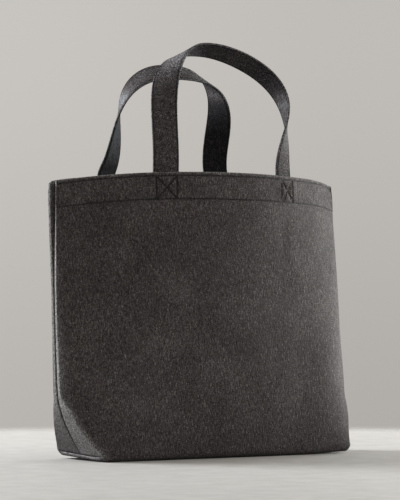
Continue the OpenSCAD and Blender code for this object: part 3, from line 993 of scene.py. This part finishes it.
class Paint:
    """A material and the nodes that make its finish."""

    def __init__(self, name):
        self.material = bpy.data.materials.new(name)
        self.material.use_nodes = True
        self.tree = self.material.node_tree
        self.shader = self.tree.nodes["Principled BSDF"]

    @classmethod
    def on(cls, tree, shader):
        """Paint on a node tree that is there already."""
        paint = cls.__new__(cls)
        paint.tree = tree
        paint.shader = tree.nodes[shader]
        return paint

    def node(self, kind, settings=None, inputs=None, output=0):
        """Adds a node of a type, sets its settings, then the values or links of its sockets."""
        made = self.tree.nodes.new(kind)
        for key, value in (settings or {}).items():
            if key == "stops":
                ramp = made.color_ramp.elements
                while len(ramp) < len(value):
                    ramp.new(0.5)
                for element, (place, colour) in zip(ramp, value):
                    element.position = place
                    element.color = (*colour, 1.0)
            else:
                setattr(made, key, value)
        for key, value in (inputs or {}).items():
            self.feed(made.inputs[key], value)
        return Shade(self, made.outputs[output])

    def feed(self, socket, value):
        if isinstance(value, Shade):
            self.tree.links.new(value.socket, socket)
        else:
            socket.default_value = value

    def surface(self, sockets):
        for name, value in sockets.items():
            self.feed(self.shader.inputs[name], value)

    def noise(self, place, size, detail=1.0, rough=0.5):
        """Cloudy noise, 0 to 1, with features of a size in the units of the place."""
        return self.node("ShaderNodeTexNoise", {}, {
            "Vector": place, "Scale": 1 / size, "Detail": detail, "Roughness": rough})

    def smooth(self, value, start, stop, first, last):
        """Smooth step from first, where the value is at start, to last, where it is at stop."""
        return self.node("ShaderNodeMapRange", {"interpolation_type": "SMOOTHSTEP"}, {
            "Value": value, "From Min": start, "From Max": stop, "To Min": first, "To Max": last})

    def streaks(self, place, turn, long, thin):
        """Noise drawn out along one direction, for fibres of a length and thickness in millimetres."""
        laid = self.node("ShaderNodeMapping", {"vector_type": "TEXTURE"}, {
            "Vector": place, "Rotation": turn, "Scale": (long, thin, thin)})
        return self.node("ShaderNodeTexNoise", {}, {
            "Vector": laid, "Scale": 1.0, "Detail": 1.0, "Roughness": 0.4})


def degrees(*angles):
    return tuple(math.radians(a) for a in angles)


# Weights in the felt's tone and in its nap. The mean of a noise is taken off it before it is weighted
NOISE_MEAN = 0.5
GRAIN_TONE = 0.95
HIGHLIGHT_GRAIN_TONE = 0.6
MOTTLE_TONE = 0.3
WOOL_TONE = 1.65
DRIFT_TONE = 0.2
HAIR_TONE = 0.1
PAINTED_LIGHT_TONE = 0.16
GRAIN_NAP = 0.7
WOOL_NAP = 2.0


def felt_finish(name, place_kind, scale, turns, tones, sheen):
    """Charcoal felt: crisp grain of dark and pale wool, fibres lying several ways, a few pale hairs, a slow
    drift of tone, painted shade and painted highlights from the meshes, with a coarser grain where
    highlights are painted, a rough nap in the bump and a slight sheen."""
    paint = Paint(name)
    source = paint.node("ShaderNodeTexCoord", {}, {}, place_kind)
    place = paint.node("ShaderNodeVectorMath", {"operation": "SCALE"}, {0: source, "Scale": scale})
    fibres = [paint.streaks(place, turn, 7.0, 0.75) for turn in turns]
    grain = paint.noise(place, 1.0) - NOISE_MEAN
    mottle = paint.noise(place, 3.2) - NOISE_MEAN
    drift = paint.noise(place, 55.0) - NOISE_MEAN
    wool = sum(fibres[1:], fibres[0]) / len(fibres) - NOISE_MEAN
    hairs = paint.node("ShaderNodeMapRange", {}, {"Value": fibres[0], "From Min": 0.66, "From Max": 0.8})
    # Painted shade and painted highlights carried by the meshes; above 0 they also coarsen the grain
    wear = paint.node("ShaderNodeAttribute", {"attribute_name": "wear"}, {}, "Fac")
    painted_highlight = paint.node("ShaderNodeMath", {"operation": "MAXIMUM"}, {0: wear, 1: 0.0})
    tone = NOISE_MEAN + grain * (GRAIN_TONE + painted_highlight * HIGHLIGHT_GRAIN_TONE) + mottle * MOTTLE_TONE
    tone = tone + wool * WOOL_TONE + drift * DRIFT_TONE + hairs * HAIR_TONE + wear * PAINTED_LIGHT_TONE
    colour = paint.node("ShaderNodeValToRGB", {"stops": tones}, {"Fac": tone})
    nap = grain * GRAIN_NAP + wool * WOOL_NAP
    bump = paint.node("ShaderNodeBump", {}, {"Strength": 1.0, "Distance": 0.0032, "Height": nap})
    paint.surface({"Base Color": colour, "Roughness": 0.95, "Normal": bump, "Specular IOR Level": 0.15,
                   "Sheen Weight": sheen, "Sheen Roughness": 0.45, "Sheen Tint": (0.92, 0.95, 1.0, 1.0)})
    return paint.material


def thread_finish():
    """Dark twisted thread: fine slanting plies in tone and bump."""
    paint = Paint("dark_thread")
    source = paint.node("ShaderNodeTexCoord", {}, {}, "Object")
    place = paint.node("ShaderNodeVectorMath", {"operation": "SCALE"}, {0: source, "Scale": 1 / MM})
    plies = paint.streaks(place, degrees(0, 40, 20), 2.0, 0.22)
    colour = paint.node("ShaderNodeValToRGB", {"stops": [
        (0.3, (0.006, 0.006, 0.0065)), (0.7, (0.022, 0.021, 0.021))]}, {"Fac": plies})
    bump = paint.node("ShaderNodeBump", {}, {"Strength": 0.4, "Distance": 0.0002, "Height": plies})
    paint.surface({"Base Color": colour, "Roughness": 0.7, "Normal": bump})
    return paint.material


# Colours of the wool from its darkest to its palest tone
FELT_TONES = [
    (0.22, (0.0155, 0.0126, 0.0128)), (0.46, (0.056, 0.0452, 0.0452)),
    (0.60, (0.102, 0.0885, 0.0875)), (0.82, (0.238, 0.233, 0.226)), (1.0, (0.385, 0.385, 0.372))]
# The strap's darkest and palest stops are bluish, which tints its painted shade and painted highlights
STRAP_TONES = [
    (0.22, (0.0105, 0.0115, 0.0155)), (0.33, (0.0232, 0.0235, 0.0295)), (0.46, (0.0475, 0.0378, 0.0372)),
    (0.60, (0.091, 0.0768, 0.0758)), (0.82, (0.203, 0.203, 0.213)), (1.0, (0.340, 0.350, 0.374))]
FELT = felt_finish("charcoal_felt", "Object", 1 / MM,
                   [degrees(0, 78, 10), degrees(20, 106, 50), degrees(0, 90, -30), degrees(60, 10, 90)],
                   FELT_TONES, 0.06)
STRAP_FELT = felt_finish("strap_felt", "UV", 0.85,
                         [degrees(0, 0, 20), degrees(0, 0, 75), degrees(0, 0, -40)], STRAP_TONES, 0.03)
THREAD = thread_finish()


# Camera at the photograph's viewing angle
VIEW_TURN = -34
VIEW = math.radians(VIEW_TURN)


def make_camera():
    lens = bpy.data.cameras.new("camera")
    lens.sensor_width = 36
    lens.lens = 172.8
    lens.shift_x = -0.0044
    camera = bpy.data.objects.new("camera", lens)
    camera.location = (-1.6776, -2.4871, 0.174)
    camera.rotation_euler = degrees(91.58, 0, VIEW_TURN)
    bpy.context.scene.collection.objects.link(camera)
    bpy.context.scene.camera = camera


# Soft light: distance of each light, and height of the point that they face, in metres
LIGHT_AWAY = 2.4
LIGHT_AIM = 0.2


def soft_light(name, right, up, size, power, colour):
    """A large soft panel of light that faces the middle of the bag, from an angle to the right of the
    camera's side of it and an angle up."""
    a = VIEW + math.radians(right)
    e = math.radians(up)
    lamp = bpy.data.lights.new(name, "AREA")
    lamp.shape = "RECTANGLE"
    lamp.size, lamp.size_y = size
    lamp.energy = power
    lamp.color = colour
    light = bpy.data.objects.new(name, lamp)
    x, y, z = math.sin(a) * math.cos(e), -math.cos(a) * math.cos(e), math.sin(e)
    light.location = (LIGHT_AWAY * x, LIGHT_AWAY * y, LIGHT_AWAY * z + LIGHT_AIM)
    light.rotation_euler = (math.radians(90 - up), 0, a)
    bpy.context.scene.collection.objects.link(light)


# Pale floor, in metres, and backdrop
FLOOR_R = 1.25
FLOOR_AT = (-0.218, -0.323, 0.0)
FLOOR_RINGS = 8
FLOOR_SPOKES = 64


def make_floor():
    """A flat round floor of rings and spokes whose pale tone fades out into the backdrop at its edge."""
    r = np.linspace(0, 1, FLOOR_RINGS + 1)[1:, None] * FLOOR_R
    a = np.linspace(0, 2 * np.pi, FLOOR_SPOKES + 1)[None, :-1]
    rings = np.stack(np.broadcast_arrays(r * np.cos(a), r * np.sin(a), 0 * r), -1) + FLOOR_AT
    index = np.arange(FLOOR_RINGS * FLOOR_SPOKES).reshape(FLOOR_RINGS, FLOOR_SPOKES)
    paint = Paint("pale_floor")
    source = paint.node("ShaderNodeTexCoord", {}, {}, "Object")
    away = paint.node("ShaderNodeVectorMath", {"operation": "DISTANCE"}, {0: source, 1: FLOOR_AT}, 1)
    cover = paint.smooth(away, FLOOR_R * 0.8, FLOOR_R * 0.99, 1.0, 0.0)
    grain = paint.noise(source, 0.03, 3.0, 0.6)
    tone = paint.node("ShaderNodeValToRGB", {"stops": [
        (0.35, (0.30, 0.29, 0.273)), (0.65, (0.35, 0.338, 0.319))]}, {"Fac": grain})
    paint.surface({"Base Color": tone, "Roughness": 0.6, "Alpha": cover})
    faces = [grid_faces(wrapped(index)).reshape(-1, 4), index[:1]]
    mesh = bpy.data.meshes.new("floor")
    corners = [f[::-1] for group in faces for f in group.tolist()]
    mesh.from_pydata(rings.reshape(-1, 3).tolist(), [], corners)
    mesh.materials.append(paint.material)
    floor = bpy.data.objects.new("floor", mesh)
    bpy.context.scene.collection.objects.link(floor)


def make_backdrop():
    """Plain pale surroundings, a little brighter on the picture's left and darker towards the floor."""
    world = bpy.data.worlds.new("backdrop")
    world.use_nodes = True
    bpy.context.scene.world = world
    paint = Paint.on(world.node_tree, "Background")
    ahead = paint.node("ShaderNodeTexCoord", {}, {}, "Generated")
    across = paint.node("ShaderNodeVectorMath", {"operation": "DOT_PRODUCT"}, {
        0: ahead, 1: (math.cos(VIEW), math.sin(VIEW), 0)}, "Value")
    height = paint.node("ShaderNodeSeparateXYZ", {}, {0: ahead}, "Z")
    side = paint.smooth(across, -0.09, 0.07, 0.57, 0.52)
    low = paint.smooth(height, -0.07, 0.12, 0.83, 1.01)
    tone = side * low
    colour = paint.node("ShaderNodeCombineColor", {}, {0: tone, 1: tone * 0.96, 2: tone * 0.91})
    paint.surface({"Color": colour})


make_camera()
make_floor()
make_backdrop()
soft_light("right_window", right=138, up=0, size=(1.5, 1.1), power=150, colour=(0.975, 1.0, 0.98))
soft_light("front_fill", right=95, up=25, size=(1.4, 1.2), power=30, colour=(1.0, 0.99, 0.98))
soft_light("left_window", right=-104, up=28, size=(1.0, 1.2), power=130, colour=(0.93, 0.96, 1.0))
bpy.context.scene.view_settings.view_transform = "Standard"

# The bag
for half in ("front", "back"):
    panel = felt_panel(half)
    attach(panel, "bag")
    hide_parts(half + "_panel")
    facing = felt_facing(half)
    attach(facing, "bag")
    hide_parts(half + "_facing")
    strap = felt_strap(half)
    handle = half + "_handle"
    hinge = next(j for j in frame["joints"] if j["child"] == handle)
    fixed = hinge["deforming_nodes"][0]["fixed_end_z_m"]
    line_y, line_z = hinge["pos_m"][1:]
    end = (0, line_y, 2 * line_z - fixed)
    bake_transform(strap)
    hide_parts(half + "_strap_sewn_ends", half + "_strap_bends", half + "_strap_loop")
    strap_line(half)[3][-1] * MM
    edges = stitch_piece(half + "_strap_stitches", strap_edges(half), half)
    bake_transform(edges)
    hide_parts(half + "_strap_stitching")
    for row, stitches in (("rim", rim_row(half, TOP_ROW)), ("hem", rim_row(half, HEM_ROW)),
                          ("box", crossed_boxes(half))):
        piece = stitch_piece(half + "_" + row + "_stitches", stitches, half)
        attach(piece, "bag")
        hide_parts(half + "_" + row + "_stitching")

for name, stitches in (("left_side_seam", side_seam(-1)), ("right_side_seam", side_seam(1)),
                       ("left_corner_seam", corner_seam(-1)), ("right_corner_seam", corner_seam(1)),
                       ("base_seam", base_seam())):
    piece = stitch_piece(name + "_stitches", stitches)
    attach(piece, "bag")
    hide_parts(name)
